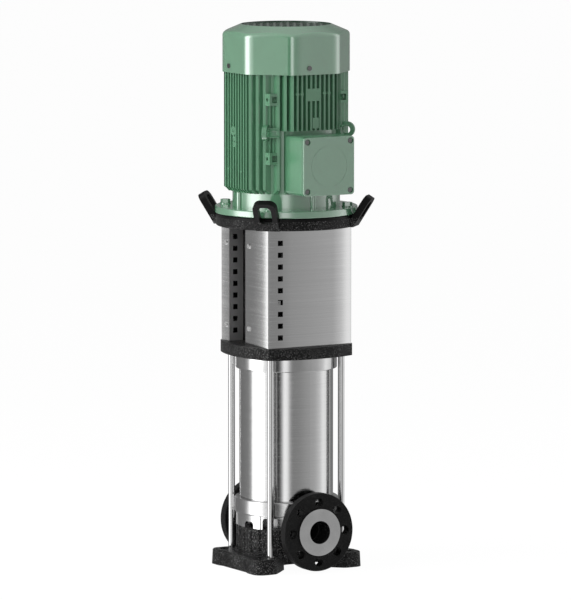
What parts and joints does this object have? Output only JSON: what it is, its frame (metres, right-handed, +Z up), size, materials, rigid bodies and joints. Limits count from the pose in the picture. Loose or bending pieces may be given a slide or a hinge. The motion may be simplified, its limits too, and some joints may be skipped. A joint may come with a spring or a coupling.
{
  "type": "vertical multistage pump",
  "caption": "Vertical in-line multistage pump: flanged port casing on a cast base, stage stack in a steel sleeve, guarded coupling lantern and finned flange motor.",
  "frame": {"origin": "on the floor, at the centre of the hold-down slot pattern, under the pump shaft", "axes": "+Z up along the shaft, +X out of the discharge port"},
  "size_m": [0.327, 0.3, 1.146],
  "materials": {
    "black_casting": "rough sand-cast, painted black",
    "black_flange": "rough cast, painted black",
    "cast_stainless": "fine cast stainless",
    "stainless_sheet": "brushed",
    "bright_steel": "bright drawn",
    "pressed_stainless": "pressed",
    "green_hardware": "painted over",
    "green_paint": "satin paint",
    "seal_rubber": "black elastomer",
    "seal_face": "carbon",
    "machined_steel": "turned",
    "core_steel": "laminated",
    "winding_copper": "varnished copper",
    "bearing_steel": "ground",
    "black_plastic": "moulded"
  },
  "bodies": {
    "pump_and_motor": {"base": "black_casting", "bearing_balls": "bearing_steel", "bearing_outer_rings": "bearing_steel", "drain_plug": "bright_steel", "entry_plugs": "black_plastic", "fan_cover": "green_paint", "fan_cover_screws": "bright_steel", "guard_front": "stainless_sheet", "guard_rear": "stainless_sheet", "guard_screws": "bright_steel", "lantern": "black_casting", "motor_end_shield": "green_paint", "motor_flange_bolts": "green_hardware", "motor_flange_washers": "green_hardware", "motor_frame": "green_paint", "outer_sleeve": "stainless_sheet", "pump_casing": "cast_stainless", "pump_head": "cast_stainless", "rear_end_shield": "green_paint", "seal_housing": "cast_stainless", "seal_screws": "bright_steel", "seal_seat": "seal_face", "sleeve_o_rings": "seal_rubber", "stage_casing_1": "pressed_stainless", "stage_casing_2": "pressed_stainless", "stage_casing_3": "pressed_stainless", "stage_casing_4": "pressed_stainless", "stage_casing_5": "pressed_stainless", "stator_core": "core_steel", "stator_windings": "winding_copper", "terminal_board": "black_plastic", "terminal_box": "green_paint", "terminal_lid": "green_paint", "terminal_lid_screws": "bright_steel", "tie_rod_nuts": "bright_steel", "tie_rod_washers": "bright_steel", "tie_rods": "bright_steel", "vent_plug": "bright_steel"},
    "rotor": {"bearing_inner_rings": "bearing_steel", "coupling_half_front": "machined_steel", "coupling_half_rear": "machined_steel", "coupling_screws": "bright_steel", "fan": "black_plastic", "impeller_1": "pressed_stainless", "impeller_2": "pressed_stainless", "impeller_3": "pressed_stainless", "impeller_4": "pressed_stainless", "impeller_5": "pressed_stainless", "impeller_nut": "bright_steel", "impeller_spacers": "pressed_stainless", "motor_shaft": "machined_steel", "pump_shaft": "bright_steel", "rotor_core": "core_steel", "seal_ring": "seal_face"},
    "discharge_flange": {"discharge_flange_far": "black_flange", "discharge_flange_near": "black_flange"},
    "suction_flange": {"suction_flange_far": "black_flange", "suction_flange_near": "black_flange"}
  },
  "joints": [
    {"name": "rotor_spin", "type": "hinge", "parent": "pump_and_motor", "child": "rotor", "pos_m": [0, 0, 0.6], "axis": [0, 0, 1], "continuous": true},
    {"name": "discharge_flange_turn", "type": "hinge", "parent": "pump_and_motor", "child": "discharge_flange", "pos_m": [0.127, 0, 0.087], "axis": [1, 0, 0], "continuous": true},
    {"name": "suction_flange_turn", "type": "hinge", "parent": "pump_and_motor", "child": "suction_flange", "pos_m": [-0.127, 0, 0.087], "axis": [-1, 0, 0], "continuous": true}
  ]
}
